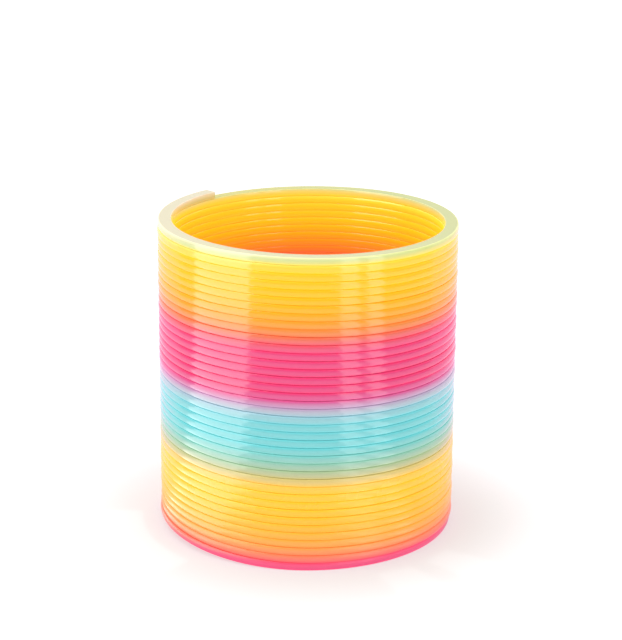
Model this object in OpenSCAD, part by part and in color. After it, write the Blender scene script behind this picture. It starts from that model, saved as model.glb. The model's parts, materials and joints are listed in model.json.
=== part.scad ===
// Spring coil toy: one flat moulded strip wound into a tall closed helix.
// The strip is cut into half turns. Each half turn is a flat arc, tilted by a little less than
// a degree, so that front halves climb to the left and back halves climb to the right. Half
// turns meet face to face in the plane y = 0, where the coil flexes. In the closed stacks at
// both ends the same lengths of strip follow each other with a hairline seam between them.

/* [Coil] */
// Outside diameter of the coil
coil_d = 85; // [75:1:100]
// Height of the closed coil, from the foot to the top of the free end
coil_h = 90; // [86:1:96]
// Clear gap between one turn and the next
turn_gap = 0.1; // [0.05:0.05:0.2]
// Hairline seam between two lengths of strip in the same stack
seam = 0.02; // [0.01:0.01:0.05]
// Seam at each end of the foot's ramp, where the strip changes slope most
ramp_seam = 0.16; // [0.12:0.02:0.3]

/* [Strip] */
// Width of the strip, measured across the wall of the coil
strip_w = 4; // [3:0.5:5]
// Radius of the strip's rounded edges
edge_r = 0.6; // [0.3:0.1:0.9]

/* [Turns] */
// Closed turns under the part that flexes, foot included
bottom_turns = 6; // [4:1:7]
// Turns that flex, each made of a front half and a back half
flex_turns = 28; // [24:1:28]
// Whole closed turns above the part that flexes
top_turns = 5; // [4:1:6]
// Direction in which the upper free end stops, anticlockwise from the right
tip_direction = 135; // [100:5:160]

/* [Foot] */
// Length of the ramp at the end of the flat foot, in degrees
foot_ramp = 85; // [60:5:90]

/* [Hidden] */
// The middle of the strip's width
mid_r = (coil_d - strip_w) / 2;
// Half of the angle that the rounded end of the strip takes up
end_cap = asin(strip_w / 2 / mid_r);
// The seam as an angle around the coil, and the wider one at the ends of the ramp
seam_deg = asin(seam / mid_r);
ramp_seam_deg = asin(ramp_seam / mid_r);
// How far the last stretch climbs between its left end and the tip, in pitches
tip_climb = (1 + cos(tip_direction)) / 4;
// How far the strip's middle climbs from the foot to the tip, in pitches
climb = bottom_turns + flex_turns + top_turns + 1 + tip_climb;
// Distance from one turn up to the next
pitch = (coil_h + turn_gap) / (climb + 1);
// Thickness of the strip, measured up the coil
strip_t = pitch - turn_gap;
// Tilt of each half turn
tilt = asin(pitch / 4 / mid_r);
// Tilt of the ramp that lifts the strip over its own lower end
ramp_tilt = asin(pitch / 2 / mid_r / sin(foot_ramp / 2));
// How far the rounded end stands in from the strip's own surface
end_step = 0.03;
// The edge radius that fits a thin strip, with a sliver of flat left between two edges
flat_edge = 0.05;
round_r = min(edge_r, strip_t / 2 - end_step - flat_edge);
// Facets in a whole circle of the coil, and in the strip's edges
coil_fn = 180;
edge_fn = 32;

first_flex = bottom_turns + 1;
last_flex = bottom_turns + flex_turns;

// Colours up the coil: a share of its height, then red, green and blue
BANDS = [
    [0.00, 1.00, 0.39, 0.58],
    [0.04, 1.00, 0.47, 0.42],
    [0.09, 1.00, 0.65, 0.33],
    [0.15, 1.00, 0.82, 0.30],
    [0.27, 1.00, 0.84, 0.34],
    [0.32, 0.68, 0.78, 0.58],
    [0.39, 0.50, 0.86, 0.88],
    [0.48, 0.56, 0.85, 0.87],
    [0.52, 0.76, 0.74, 0.82],
    [0.57, 0.95, 0.36, 0.62],
    [0.72, 1.00, 0.42, 0.60],
    [0.77, 1.00, 0.62, 0.38],
    [0.84, 1.00, 0.82, 0.26],
    [0.96, 1.00, 0.88, 0.40],
    [1.00, 0.94, 0.93, 0.74],
];
function channel(n) = [for (band = BANDS) [band[0], band[n]]];
function strip_color(z) = [for (n = [1:3]) lookup(z / coil_h, channel(n))];

// Height of the strip's middle in the foot, and on the right-hand side at the start of a turn
foot_z = strip_t / 2;
function turn_z(turn) = foot_z + (turn - 0.5) * pitch;
function half_name(turn, half) = str("turn_", turn < 10 ? "0" : "", turn, "_", half);

// The strip's section: a flat bar with rounded edges
module strip_section(shrink = 0) {
    width = strip_w - 2 * shrink;
    height = strip_t - 2 * shrink;
    square([width, height - 2 * round_r], center = true);
    square([width - 2 * round_r, height], center = true);
    for (x = [-1, 1], y = [-1, 1])
        translate([x * (width / 2 - round_r), y * (height / 2 - round_r)])
            circle(r = round_r, $fn = edge_fn);
}

// A flat arc of strip that starts at one direction and turns anticlockwise
module strip_arc(from, sweep) {
    rotate([0, 0, from])
        rotate_extrude(angle = sweep, $fn = coil_fn)
            translate([mid_r, 0])
                strip_section();
}

// The strip's rounded end: a disc sunk halfway into the end of an arc
module strip_end(direction) {
    rotate([0, 0, direction])
        translate([mid_r, 0, 0])
            rotate_extrude($fn = edge_fn)
                intersection() {
                    strip_section(end_step);
                    translate([0, -strip_t])
                        square([strip_w, 2 * strip_t]);
                }
}

// Lays what it holds on a half turn's plane, which rises from its own lower end
module on_front_plane(low_z) {
    translate([0, 0, low_z + pitch / 4])
        rotate([0, tilt, 0])
            children();
}

module on_back_plane(low_z) {
    translate([0, 0, low_z + pitch / 4])
        rotate([0, -tilt, 0])
            children();
}

module front_half(turn, trim = 0) {
    color(strip_color(turn_z(turn)))
        on_front_plane(turn_z(turn))
            strip_arc(180 + trim, 180 - 2 * trim);
}

module back_half(turn, trim = 0) {
    color(strip_color(turn_z(turn) + pitch / 2))
        on_back_plane(turn_z(turn) + pitch / 2)
            strip_arc(trim, 180 - 2 * trim);
}

// The foot: flat on the table from its free end on the left, round the back and the right to
// the front, then a ramp over the front left that climbs above its own free end
module foot_turn() {
    color(strip_color(0)) {
        translate([0, 0, foot_z]) {
            strip_arc(180 + foot_ramp, 360 - foot_ramp - 2 * end_cap);
            strip_end(180 - 2 * end_cap);
        }
        translate([0, 0, foot_z + pitch / 2])
            rotate([0, 0, 180 + foot_ramp / 2])
                rotate([-ramp_tilt, 0, 0])
                    strip_arc(ramp_seam_deg - foot_ramp / 2, foot_ramp - 2 * ramp_seam_deg);
    }
}

// The last stretch of strip, which ends in the free tip
module tip_stretch(turn) {
    color(strip_color(turn_z(turn) + pitch / 2))
        on_back_plane(turn_z(turn) + pitch / 2) {
            strip_arc(tip_direction + end_cap, 180 - tip_direction - end_cap - seam_deg);
            strip_end(tip_direction + end_cap);
        }
}

module bottom_coils() {
    foot_turn();
    back_half(1, seam_deg);
    for (turn = [2:bottom_turns]) {
        front_half(turn, seam_deg);
        back_half(turn, seam_deg);
    }
}

module top_coils() {
    for (turn = [last_flex + 1:last_flex + top_turns]) {
        front_half(turn, seam_deg);
        back_half(turn, seam_deg);
    }
    front_half(last_flex + top_turns + 1, seam_deg);
    tip_stretch(last_flex + top_turns + 1);
}

bottom_coils();
for (turn = [first_flex:last_flex]) {
    front_half(turn);
    back_half(turn);
}
top_coils();
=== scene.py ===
import json
import math

import bpy
import numpy as np
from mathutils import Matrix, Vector


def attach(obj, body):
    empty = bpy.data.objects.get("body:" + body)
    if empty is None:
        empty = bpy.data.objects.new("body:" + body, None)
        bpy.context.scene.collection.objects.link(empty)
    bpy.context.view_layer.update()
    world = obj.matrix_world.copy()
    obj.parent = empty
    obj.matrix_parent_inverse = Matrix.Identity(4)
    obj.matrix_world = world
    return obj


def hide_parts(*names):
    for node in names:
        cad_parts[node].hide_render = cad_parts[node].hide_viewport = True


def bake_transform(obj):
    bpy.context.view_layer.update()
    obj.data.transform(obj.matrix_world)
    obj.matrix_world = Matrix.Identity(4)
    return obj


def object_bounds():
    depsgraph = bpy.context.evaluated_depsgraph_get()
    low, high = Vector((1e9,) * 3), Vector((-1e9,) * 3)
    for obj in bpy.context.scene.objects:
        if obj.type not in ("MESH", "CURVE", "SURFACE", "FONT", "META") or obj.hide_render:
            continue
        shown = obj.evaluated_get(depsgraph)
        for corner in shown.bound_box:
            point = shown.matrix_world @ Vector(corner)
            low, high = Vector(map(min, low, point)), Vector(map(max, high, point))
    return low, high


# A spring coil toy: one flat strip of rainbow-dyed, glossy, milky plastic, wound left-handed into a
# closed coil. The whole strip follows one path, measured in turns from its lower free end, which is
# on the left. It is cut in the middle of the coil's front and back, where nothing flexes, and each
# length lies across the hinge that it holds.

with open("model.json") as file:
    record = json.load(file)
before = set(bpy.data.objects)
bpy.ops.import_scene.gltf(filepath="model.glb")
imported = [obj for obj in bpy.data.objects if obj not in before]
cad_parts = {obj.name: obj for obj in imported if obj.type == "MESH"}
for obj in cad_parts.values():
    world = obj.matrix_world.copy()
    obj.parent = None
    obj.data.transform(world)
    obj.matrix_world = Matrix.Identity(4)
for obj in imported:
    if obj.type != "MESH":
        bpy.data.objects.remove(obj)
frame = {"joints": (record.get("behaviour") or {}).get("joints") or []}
CAD_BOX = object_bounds()
HINGES = {joint["name"]: joint for joint in frame["joints"]}
RIGHT_HINGES = sorted(name for name in HINGES if name.startswith("right"))

# ---- Sizes, in metres ----
STRIP_W = 0.004
# (angle that the crowned face turns to, then each arc of the edge: angle that it turns to, radius)
OUTER_EDGE = (22, (66, 0.00036), (90, 0.00008))
INNER_EDGE = (16, (60, 0.00026), (90, 0.00008))
# Gap between one turn and the next
LEAST_GAP = 0.00005
# Where the upper free end stops, anticlockwise from the right, and the rounding of both ends
TIP_AZIMUTH = 135
TIP_ROUND = 0.0007
OUTER_R = (CAD_BOX[1].x - CAD_BOX[0].x) / 2
MID_R = OUTER_R - STRIP_W / 2


def hinge_turn(name):
    """The turn that a hinge is named after."""
    return int(name.split("_")[-1])


FIRST_FLEX = hinge_turn(RIGHT_HINGES[0])
LAST_FLEX = hinge_turn(RIGHT_HINGES[-1])
FIRST_Z, LAST_Z = (HINGES[RIGHT_HINGES[end]]["pos_m"][2] for end in (0, -1))
PITCH = (LAST_Z - FIRST_Z) / (LAST_FLEX - FIRST_FLEX)
FOOT_Z = FIRST_Z - (FIRST_FLEX - 0.5) * PITCH
STRIP_T = PITCH - LEAST_GAP
TURNS = math.floor((CAD_BOX[1].z - 2 * FOOT_Z) / PITCH) + 0.5 - TIP_AZIMUTH / 360

# ---- Mesh fineness ----
RINGS_PER_TURN = 128
# Steps in half a face, and in each arc of its edge
ARC_STEPS = (3, 5, 2)
TIP_STEPS = 7
# How far along the path its direction is measured, in turns
AHEAD = 0.001

# ---- The strip's path ----
# The part of each of the lowest turns after which it steps up, and the turn where the step is gone
RAMP_FROM = 0.745
SETTLED_TURN = 30
# The foot stands a little off to the left of the coil, as far along the path as this turn
FOOT_SHIFT = -0.0005
FOOT_SHIFT_UNTIL = 1.25
# A length reaches a quarter of a turn to each side of its hinge
REACH = 0.25
# Sideways offsets of the turns: (size, waves per turn as an angle, phase) of two waves on each axis
WANDER_X = ((0.00006, 1.9, 0.4), (0.00004, 4.3, 1.1))
WANDER_Y = ((0.00005, 1.4, 2.0), (0.00004, 3.7, 0))


def smooth(t):
    """0 to 1 with level ends."""
    t = np.clip(t, 0, 1)
    return t * t * (3 - 2 * t)


def climb(u):
    """Pitches climbed after u turns: the first turn lies flat and steps over its own end, and that
    step spreads out over the next turns into the even climb of two tilted half turns."""
    turn = np.floor(u)
    part = u - turn
    step = smooth((part - RAMP_FROM) / (1 - RAMP_FROM))
    half = np.floor(2 * part)
    even = (half + (1 - np.cos(np.pi * (2 * part - half))) / 2) / 2
    settled = np.clip(turn / SETTLED_TURN, 0, 1)
    return turn + step + (even - step) * settled


def wander(u):
    """Sideways offset of the strip after u turns: no turn lies exactly on the one below."""
    x, y = (sum(size * np.sin(rate * u + phase) for size, rate, phase in waves)
            for waves in (WANDER_X, WANDER_Y))
    foot = FOOT_SHIFT * (1 - smooth((u - RAMP_FROM) / (FOOT_SHIFT_UNTIL - RAMP_FROM)))
    return x + foot, y


def path(u):
    """The middle of the strip's section after u turns."""
    azimuth = np.pi * (1 - 2 * u)
    x, y = wander(u)
    z = STRIP_T / 2 + PITCH * climb(u)
    return np.stack([x + MID_R * np.cos(azimuth), y + MID_R * np.sin(azimuth), z], axis=1)


def path_axes(u):
    """Outward and upward unit vectors of the strip's section after u turns."""
    ahead = path(u + AHEAD) - path(u - AHEAD)
    azimuth = np.pi * (1 - 2 * u)
    out = np.stack([np.cos(azimuth), np.sin(azimuth), np.zeros_like(u)], axis=1)
    up = np.cross(out, ahead)
    up *= np.sign(up[:, 2:3])
    return out, up / np.linalg.norm(up, axis=1, keepdims=True)


# ---- The strip's section ----
def half_edge(face_turn, *edge):
    """The upper half of an edge, from the middle of its face up: points, as distances out from the
    face and up, and their normals' angles. The face is a crown that turns as far as face_turn, and
    the edge's arcs, each (angle that it turns to, radius), round it off."""
    rise, angle = 0, face_turn
    for turn_to, radius in edge:
        rise += radius * (math.sin(math.radians(turn_to)) - math.sin(math.radians(angle)))
        angle = turn_to
    face_r = (STRIP_T / 2 - rise) / math.sin(math.radians(face_turn))
    point, angle, rows = np.zeros(2), 0, [(np.zeros(2), 0)]
    for (turn_to, radius), steps in zip(((face_turn, face_r), *edge), ARC_STEPS):
        centre = point - radius * facing(angle)
        rows += [(centre + radius * facing(turn), turn)
                 for turn in np.linspace(angle, turn_to, steps + 1)[1:]]
        point, angle = rows[-1]
    return rows


def facing(angle):
    """Outward and upward parts of a unit vector, from its angle above level."""
    return np.array([math.cos(math.radians(angle)), math.sin(math.radians(angle))])


def section():
    """Points and normals round the section: a flat bar with softened edges."""
    points, normals = [], []
    for across, up in ((1, 1), (-1, 1), (-1, -1), (1, -1)):
        rows = half_edge(*(OUTER_EDGE if across > 0 else INNER_EDGE))
        rows = rows if across * up > 0 else rows[:0:-1]
        for (out, height), angle in rows:
            points.append(((STRIP_W / 2 + out) * across, height * up))
            normals.append(facing(angle) * (across, up))
    return np.array(points), np.array(normals)


SECTION, SECTION_NORMALS = section()


def tip_rings(end_u, outward):
    """The rounded free end: (u, scale across, scale up) of rings that close the strip at end_u."""
    rings = []
    for step in range(1, TIP_STEPS + 1):
        angle = math.pi / 2 * step / TIP_STEPS
        reach = TIP_ROUND * math.sin(angle)
        inset = TIP_ROUND * (1 - math.cos(angle))
        u = end_u + outward * (reach - TIP_ROUND) / (2 * math.pi * MID_R)
        rings.append((u, 1 - 2 * inset / STRIP_W, 1 - 2 * inset / STRIP_T))
    return rings


def strip_mesh(name, from_u, to_u):
    """A length of strip between two places on the path. It closes where the strip ends."""
    tip_turns = TIP_ROUND / (2 * math.pi * MID_R)
    low_tip, high_tip = from_u <= 0, to_u >= TURNS
    from_body = from_u + tip_turns * low_tip
    to_body = to_u - tip_turns * high_tip
    count = max(2, round((to_body - from_body) * RINGS_PER_TURN))
    rings = [(u, 1, 1) for u in np.linspace(from_body, to_body, count + 1)]
    body_rings = range(len(rings))
    if low_tip:
        ends = tip_rings(0, -1)
        rings = ends[::-1] + rings
        body_rings = range(len(ends), len(rings))
    if high_tip:
        rings += tip_rings(TURNS, 1)
    u, wide, high = np.array(rings).T
    centres = path(u)
    out, up = path_axes(u)
    across = wide[:, None] * SECTION[None, :, 0]
    above = high[:, None] * SECTION[None, :, 1]
    points = centres[:, None] + across[..., None] * out[:, None] + above[..., None] * up[:, None]
    normals = (SECTION_NORMALS[None, :, 0, None] * out[:, None]
               + SECTION_NORMALS[None, :, 1, None] * up[:, None])
    around = SECTION.shape[0]
    faces = []
    for ring in range(len(u) - 1):
        for k in range(around):
            a, b = ring * around + k, ring * around + (k + 1) % around
            faces.append((a, b, b + around, a + around))
    last = (len(u) - 1) * around
    faces.append(tuple(range(around))[::-1])
    faces.append(tuple(last + k for k in range(around)))
    mesh = bpy.data.meshes.new(name)
    mesh.from_pydata(points.reshape(-1, 3).tolist(), [], faces)
    for polygon in mesh.polygons:
        polygon.use_smooth = len(polygon.vertices) == 4
    share = mesh.attributes.new("strip_share", "FLOAT", "POINT")
    share.data.foreach_set("value", (points[..., 2] / CAD_BOX[1].z).astype(np.float32).ravel())
    place = mesh.attributes.new("strip_place", "FLOAT_VECTOR", "POINT")
    along = np.broadcast_to(u[:, None] * 2 * math.pi * MID_R, across.shape)
    coords = np.stack([along, across, above], axis=2)
    place.data.foreach_set("vector", coords.astype(np.float32).ravel())
    mesh.validate()
    return mesh, normals, body_rings


def strip_piece(name, from_u, to_u):
    mesh, normals, body_rings = strip_mesh(name, from_u, to_u)
    piece = bpy.data.objects.new(name, mesh)
    bpy.context.scene.collection.objects.link(piece)
    wanted = np.zeros_like(normals)
    wanted[list(body_rings)] = normals[list(body_rings)]
    mesh.normals_split_custom_set_from_vertices(wanted.reshape(-1, 3).tolist())
    mesh.materials.append(STRIP_MATERIAL)
    return piece


# ---- Colour ----
# Painted shade: how much deeper the dye is made on the inner face (low down, and near the rim) and
# in the grooves, where shade falls, and how much deeper the painted glow's colour is, as powers
INNER_PAINTED_SHADE = (0.8, 0.0)
INNER_PAINTED_SHADE_SHARES = (0.74, 0.90)
GROOVE_PAINTED_SHADE = 0.25
PAINTED_GLOW_DEPTH = 1.2
# Painted glow, as a share of white: an emission that stands in for light coming through the wall
PAINTED_WALL_GLOW = 0.05
PAINTED_GROOVE_GLOW = 0.30
PAINTED_INNER_GLOW = 0.42
# Roughness that the foot's end has more than the upper half, and where it fades out
DULLNESS = (0.22, 0.0)
DULL_SHARES = (0.15, 0.45)
# Shares of the coil's height near the rim over which the painted glow inside fades, and what it
# fades to
RIM_SHARES = (0.955, 0.985)
RIM_PAINTED_GLOW = (1.0, 0.3)
# How far in from the faces the painted shade and glow of the inner face and of the grooves reach,
# in metres
INNER_FROM, INNER_FULL = 0.0005, 0.0001
MARGIN_FROM, MARGIN_FULL = 0.0006, 0.0004
EDGE_REACH = 0.0007
# Flow lines: how fine they are along, across and up the strip, and their depth in metres
STREAKS = (60, 1600, 1600)
STREAK_DEPTH = 0.0001
# Smears on the gloss: the noise's range, and the roughness over it
SMEAR_NOISE = (0.3, 0.7)
SMEAR_ROUGHNESS = (0.06, 0.14)
# Shares of the coil's height, and the dye there as sRGB bytes
DYE = (
    (0.000, (242, 82, 136)),
    (0.020, (248, 86, 130)),
    (0.032, (253, 116, 108)),
    (0.052, (255, 144, 96)),
    (0.080, (254, 168, 80)),
    (0.115, (252, 182, 65)),
    (0.150, (252, 189, 53)),
    (0.210, (252, 198, 51)),
    (0.262, (246, 200, 67)),
    (0.285, (228, 197, 112)),
    (0.305, (194, 191, 138)),
    (0.330, (164, 194, 164)),
    (0.360, (140, 200, 190)),
    (0.395, (120, 204, 206)),
    (0.470, (126, 204, 208)),
    (0.495, (152, 199, 207)),
    (0.513, (178, 184, 199)),
    (0.530, (194, 151, 185)),
    (0.548, (214, 96, 150)),
    (0.575, (226, 75, 128)),
    (0.700, (229, 81, 130)),
    (0.730, (232, 103, 110)),
    (0.752, (236, 132, 84)),
    (0.785, (240, 160, 60)),
    (0.825, (248, 179, 42)),
    (0.870, (252, 192, 34)),
    (0.940, (253, 201, 46)),
    (0.962, (245, 214, 70)),
    (0.984, (212, 221, 150)),
    (1.000, (238, 230, 200)),
)


def linear(byte):
    """A linear colour value from an sRGB byte."""
    value = byte / 255
    return value / 12.92 if value <= 0.04045 else ((value + 0.055) / 1.055) ** 2.4


def add(tree, kind, place, **settings):
    """A new node with its settings. A setting named after an input sets that input."""
    node = tree.nodes.new(kind)
    node.location = place
    for key, value in settings.items():
        if key in node.inputs:
            node.inputs[key].default_value = value
        else:
            setattr(node, key, value)
    return node


def between(tree, place, value, low, high, to_low, to_high):
    """A number that goes smoothly from one value to another as a number goes from low to high."""
    node = add(tree, "ShaderNodeMapRange", place, interpolation_type="SMOOTHSTEP")
    for socket, number in zip(node.inputs[1:5], (low, high, to_low, to_high)):
        socket.default_value = number
    tree.links.new(value, node.inputs["Value"])
    return node.outputs["Result"]


def maths(tree, place, operation, first, second=None):
    """One sum on a number. The second number may be a socket or a value."""
    node = add(tree, "ShaderNodeMath", place, operation=operation)
    tree.links.new(first, node.inputs[0])
    if isinstance(second, float):
        node.inputs[1].default_value = second
    elif second is not None:
        tree.links.new(second, node.inputs[1])
    return node.outputs["Value"]


def strip_material():
    """Milky dyed plastic, with painted shade and painted glow: the dye is made deeper on the inner
    face and in the grooves, and an emission of the deepened dye stands in for light coming through
    the wall."""
    material = bpy.data.materials.new("dyed_strip_painted_shade_glow")
    material.use_nodes = True
    tree = material.node_tree
    tree.nodes.clear()
    link = tree.links.new
    share = add(tree, "ShaderNodeAttribute", (-1600, 500), attribute_name="strip_share")
    place = add(tree, "ShaderNodeAttribute", (-1600, -100), attribute_name="strip_place")
    dye = add(tree, "ShaderNodeValToRGB", (-1300, 600))
    ramp = dye.color_ramp
    for at, _ in DYE[2:]:
        ramp.elements.new(at)
    for element, (at, colour) in zip(ramp.elements, DYE):
        element.position = at
        element.color = (*(linear(byte) for byte in colour), 1)
    link(share.outputs["Fac"], dye.inputs["Fac"])

    split = add(tree, "ShaderNodeSeparateXYZ", (-1300, 0))
    link(place.outputs["Vector"], split.inputs["Vector"])
    across, above = split.outputs["Y"], split.outputs["Z"]
    half_w, half_t = STRIP_W / 2, STRIP_T / 2
    # Masks for the painted shade and glow: the inner face, and the grooves along the outer face's
    # edges
    inner = between(tree, (-1000, 200), across,
                    -half_w + INNER_FROM, -half_w + INNER_FULL, 0.0, 1.0)
    margin = between(tree, (-1000, -100), across,
                     half_w - MARGIN_FROM, half_w - MARGIN_FULL, 0.0, 1.0)
    edge = between(tree, (-1000, -400), maths(tree, (-1150, -400), "ABSOLUTE", above),
                   half_t - EDGE_REACH, half_t, 0.0, 1.0)
    groove = maths(tree, (-800, -200), "MULTIPLY", margin, edge)
    below_rim = between(tree, (-1000, 400), share.outputs["Fac"], *RIM_SHARES, *RIM_PAINTED_GLOW)

    # Painted shade: the dye made deeper on the inner face and in the grooves
    deeper = add(tree, "ShaderNodeGamma", (-300, 500))
    link(dye.outputs["Color"], deeper.inputs["Color"])
    inner_shade_by_height = between(tree, (-1000, 600), share.outputs["Fac"], *INNER_PAINTED_SHADE_SHARES, *INNER_PAINTED_SHADE)
    inner_painted_shade = maths(tree, (-750, 400), "MULTIPLY", inner, inner_shade_by_height)
    groove_painted_shade = maths(tree, (-750, 250), "MULTIPLY", groove, GROOVE_PAINTED_SHADE)
    depth = maths(tree, (-600, 300), "ADD", inner_painted_shade, groove_painted_shade)
    link(maths(tree, (-450, 300), "ADD", depth, 1.0), deeper.inputs["Gamma"])

    # Painted glow: an emission of the deepened dye, a little everywhere and most in the grooves and
    # on the inner face, fading near the rim
    through = add(tree, "ShaderNodeGamma", (-300, 100), Gamma=PAINTED_GLOW_DEPTH)
    link(dye.outputs["Color"], through.inputs["Color"])
    painted_groove_glow = maths(tree, (-600, -200), "MULTIPLY", groove, PAINTED_GROOVE_GLOW)
    glowing_inner_face = maths(tree, (-750, 0), "MULTIPLY", inner, below_rim)
    painted_inner_glow = maths(tree, (-600, 0), "MULTIPLY", glowing_inner_face, PAINTED_INNER_GLOW)
    both_painted_glows = maths(tree, (-450, -100), "ADD", painted_groove_glow, painted_inner_glow)
    glow = maths(tree, (-300, -200), "ADD", both_painted_glows, PAINTED_WALL_GLOW)
    painted_glow_colour = add(tree, "ShaderNodeVectorMath", (-100, 0), operation="SCALE")
    link(through.outputs["Color"], painted_glow_colour.inputs[0])
    link(glow, painted_glow_colour.inputs["Scale"])

    shader = add(tree, "ShaderNodeBsdfPrincipled", (300, 200))
    link(deeper.outputs["Color"], shader.inputs["Base Color"])
    link(painted_glow_colour.outputs["Vector"], shader.inputs["Emission Color"])
    shader.inputs["Emission Strength"].default_value = 1.0
    shader.inputs["IOR"].default_value = 1.5

    # Flow lines along the strip, and smears on its gloss
    streaks = add(tree, "ShaderNodeVectorMath", (-1000, -800), operation="MULTIPLY")
    streaks.inputs[1].default_value = STREAKS
    link(place.outputs["Vector"], streaks.inputs[0])
    lines = add(tree, "ShaderNodeTexNoise", (-700, -700), Scale=1.0, Detail=3.0)
    link(streaks.outputs["Vector"], lines.inputs["Vector"])
    bump = add(tree, "ShaderNodeBump", (0, -500), Strength=0.1, Distance=STREAK_DEPTH)
    link(lines.outputs["Fac"], bump.inputs["Height"])
    link(bump.outputs["Normal"], shader.inputs["Normal"])
    smears = add(tree, "ShaderNodeTexNoise", (-700, -1000), Scale=90.0, Detail=4.0)
    link(place.outputs["Vector"], smears.inputs["Vector"])
    smeared = between(tree, (-450, -900), smears.outputs["Fac"],
                      *SMEAR_NOISE, *SMEAR_ROUGHNESS)
    duller = between(tree, (-450, -1100), share.outputs["Fac"], *DULL_SHARES, *DULLNESS)
    link(maths(tree, (-200, -900), "ADD", smeared, duller), shader.inputs["Roughness"])
    output = add(tree, "ShaderNodeOutputMaterial", (600, 200))
    link(shader.outputs["BSDF"], output.inputs["Surface"])
    return material


STRIP_MATERIAL = strip_material()


# ---- Pieces ----
def build_strip():
    """One length on each closed stack, and one that lies across each hinge between them."""
    stack_top = FIRST_FLEX - 0.5 - REACH
    foot = strip_piece("strip_foot", 0, stack_top)
    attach(foot, "bottom_coils")
    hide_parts("bottom_coils")
    for name, hinge in sorted(HINGES.items(), key=lambda item: item[1]["pos_m"][2]):
        side = 1 if name.startswith("right") else -1
        middle = hinge_turn(name) - (0.5 if side > 0 else 0)
        piece = strip_piece("strip_" + name, middle - REACH, middle + REACH)
        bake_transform(piece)
        if hinge["child"] != "top_coils":
            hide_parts(hinge["child"])
    top = strip_piece("strip_top", LAST_FLEX - 0.5 + REACH, TURNS)
    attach(top, "top_coils")
    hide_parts("top_coils")


# ---- Studio ----
# Distances from the coil's axis, in metres, and how strongly the floor glows there: less near the
# coil, a painted contact shadow
FLOOR_PAINTED_SHADOW_REACH = (0.043, 0.085)
FLOOR_GLOW_PAINTED_SHADOW = (0.575, 0.84)
FLOOR_HALF = 4
# Sizes and places of the lights, in metres
SOFTBOX_DISTANCE, SOFTBOX_HEIGHT = 0.8, 1.0
OVERHEAD_SIZE = 0.9
OVERHEAD_AT = (-0.25, 0.1, 1.1)
PINK_LIGHT = (1, 0.70, 0.84)
CARD_STEPS = 12
# (distance from the coil's axis, height) down a card's section
CARD_PROFILE = ((0.048, 0.0005), (0.75, 0.0005), (0.75, 2.5))
ROOM_PROFILE = ((0.80, 0.0), (0.80, 2.5))
# The camera's lens in millimetres, its place, and how far it looks down and leans, in degrees
LENS = 118.6
CAMERA_AT = (0.001, -0.56, 0.2346)
LOOK_DOWN = 17.40
ROLL = 0.38


def floor_material():
    """Matt white and glowing from within, less so near the coil: a painted contact shadow round its
    foot.
    """
    material = bpy.data.materials.new("white_floor_painted_shadow")
    material.use_nodes = True
    tree = material.node_tree
    shader = tree.nodes["Principled BSDF"]
    shader.inputs["Base Color"].default_value = (0.3, 0.3, 0.3, 1)
    shader.inputs["Roughness"].default_value = 0.9
    shader.inputs["Emission Color"].default_value = (1, 0.975, 0.975, 1)
    spot = add(tree, "ShaderNodeTexCoord", (-900, 0))
    reach = add(tree, "ShaderNodeVectorMath", (-700, 0), operation="LENGTH")
    tree.links.new(spot.outputs["Object"], reach.inputs[0])
    # Painted contact shadow: the floor glows less near the coil
    light = between(tree, (-400, 0), reach.outputs["Value"], *FLOOR_PAINTED_SHADOW_REACH, *FLOOR_GLOW_PAINTED_SHADOW)
    tree.links.new(light, shader.inputs["Emission Strength"])
    return material


def build_floor():
    corners = [(x * FLOOR_HALF, y * FLOOR_HALF, 0) for x, y in ((-1, -1), (1, -1), (1, 1), (-1, 1))]
    mesh = bpy.data.meshes.new("floor")
    mesh.from_pydata(corners, [], [(0, 1, 2, 3)])
    mesh.materials.append(floor_material())
    floor = bpy.data.objects.new("floor", mesh)
    bpy.context.scene.collection.objects.link(floor)


def softbox(name, azimuth, span, radiance):
    """An upright light that stands on the floor and faces the coil's axis. Azimuth 0 is the front
    and 90 the right, in degrees, and span is how much of the round it fills."""
    light = bpy.data.lights.new(name, "AREA")
    light.shape = "RECTANGLE"
    light.size = 2 * SOFTBOX_DISTANCE * math.tan(math.radians(span / 2))
    light.size_y = SOFTBOX_HEIGHT
    light.energy = radiance * math.pi * light.size * light.size_y
    lamp = bpy.data.objects.new(name, light)
    bpy.context.scene.collection.objects.link(lamp)
    angle = math.radians(azimuth)
    spot = Vector((SOFTBOX_DISTANCE * math.sin(angle), -SOFTBOX_DISTANCE * math.cos(angle),
                   SOFTBOX_HEIGHT / 2))
    lamp.location = spot
    level = Vector((-spot.x, -spot.y, 0))
    lamp.rotation_mode = "QUATERNION"
    lamp.rotation_quaternion = level.to_track_quat("-Z", "Y")


def overhead(name, radiance):
    light = bpy.data.lights.new(name, "AREA")
    light.shape = "SQUARE"
    light.size = OVERHEAD_SIZE
    light.energy = radiance * math.pi * light.size * light.size
    lamp = bpy.data.objects.new(name, light)
    bpy.context.scene.collection.objects.link(lamp)
    lamp.location = OVERHEAD_AT


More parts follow.
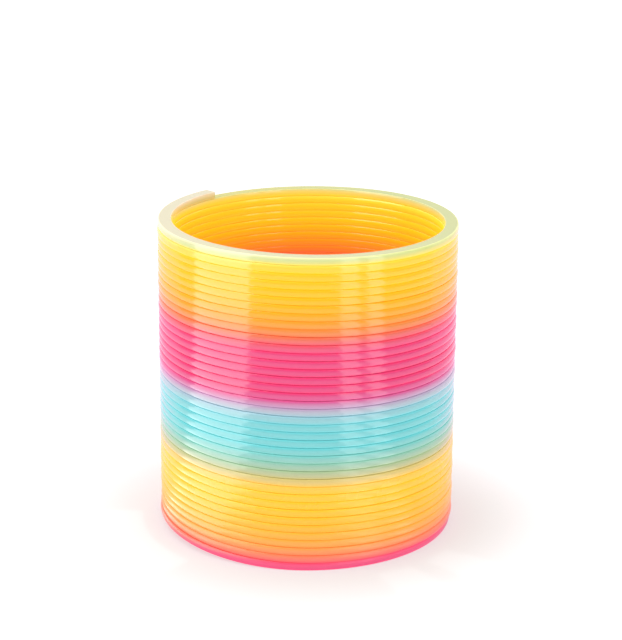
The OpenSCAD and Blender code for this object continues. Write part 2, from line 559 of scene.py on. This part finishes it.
def card(name, from_azimuth, to_azimuth, radiance, profile, colour=(1, 1, 1)):
    """Something that the coil's gloss reflects: an upright curved wall, and for a tall softbox its
    own reflection in the table in front of it too. Nothing but gloss sees it."""
    angles = np.radians(np.linspace(from_azimuth, to_azimuth, CARD_STEPS + 1))
    points = [(reach * math.sin(angle), -reach * math.cos(angle), height)
              for angle in angles for reach, height in profile]
    faces = []
    for step in range(CARD_STEPS):
        for row in range(len(profile) - 1):
            corner = step * len(profile) + row
            faces.append((corner, corner + 1, corner + len(profile) + 1, corner + len(profile)))
    mesh = bpy.data.meshes.new(name)
    mesh.from_pydata(points, [], faces)
    material = bpy.data.materials.new(name)
    material.use_nodes = True
    shader = material.node_tree.nodes["Principled BSDF"]
    shader.inputs["Base Color"].default_value = (0, 0, 0, 1)
    shader.inputs["Emission Color"].default_value = (*colour, 1)
    shader.inputs["Emission Strength"].default_value = radiance
    mesh.materials.append(material)
    sheet = bpy.data.objects.new(name, mesh)
    bpy.context.scene.collection.objects.link(sheet)
    sheet.visible_camera = False
    sheet.visible_diffuse = False
    sheet.visible_shadow = False
    sheet.visible_transmission = False


def build_lights():
    card("left_highlight", -90, -42, 3.7, CARD_PROFILE)
    card("right_highlight", 24, 37, 2.8, CARD_PROFILE)
    card("far_right_highlight", 44, 56, 2.8, CARD_PROFILE)
    card("left_rear_highlight", -170, -110, 1.3, CARD_PROFILE, PINK_LIGHT)
    card("right_rear_highlight", 105, 170, 1.3, CARD_PROFILE, PINK_LIGHT)
    card("dim_room", -108, 103, 0.25, ROOM_PROFILE)
    softbox("left_softbox", -73, 54, 1.09)
    softbox("right_softbox", 34.5, 14.5, 1.76)
    softbox("far_right_softbox", 55.7, 13, 1.76)
    overhead("top_softbox", 2.28)
    world = bpy.data.worlds.new("studio")
    bpy.context.scene.world = world
    world.use_nodes = True
    background = world.node_tree.nodes["Background"]
    background.inputs["Color"].default_value = (1, 0.97, 0.97, 1)
    background.inputs["Strength"].default_value = 0.55


def build_camera():
    """A long lens that looks down on the front from a little above the rim."""
    data = bpy.data.cameras.new("camera")
    data.sensor_fit = "HORIZONTAL"
    data.lens = LENS
    data.clip_start = 0.01
    camera = bpy.data.objects.new("camera", data)
    bpy.context.scene.collection.objects.link(camera)
    camera.location = CAMERA_AT
    camera.rotation_mode = "ZYX"
    camera.rotation_euler = (math.radians(90 - LOOK_DOWN), 0, math.radians(ROLL))
    bpy.context.scene.camera = camera


build_strip()
build_floor()
build_lights()
build_camera()
bpy.context.scene.view_settings.view_transform = "Standard"
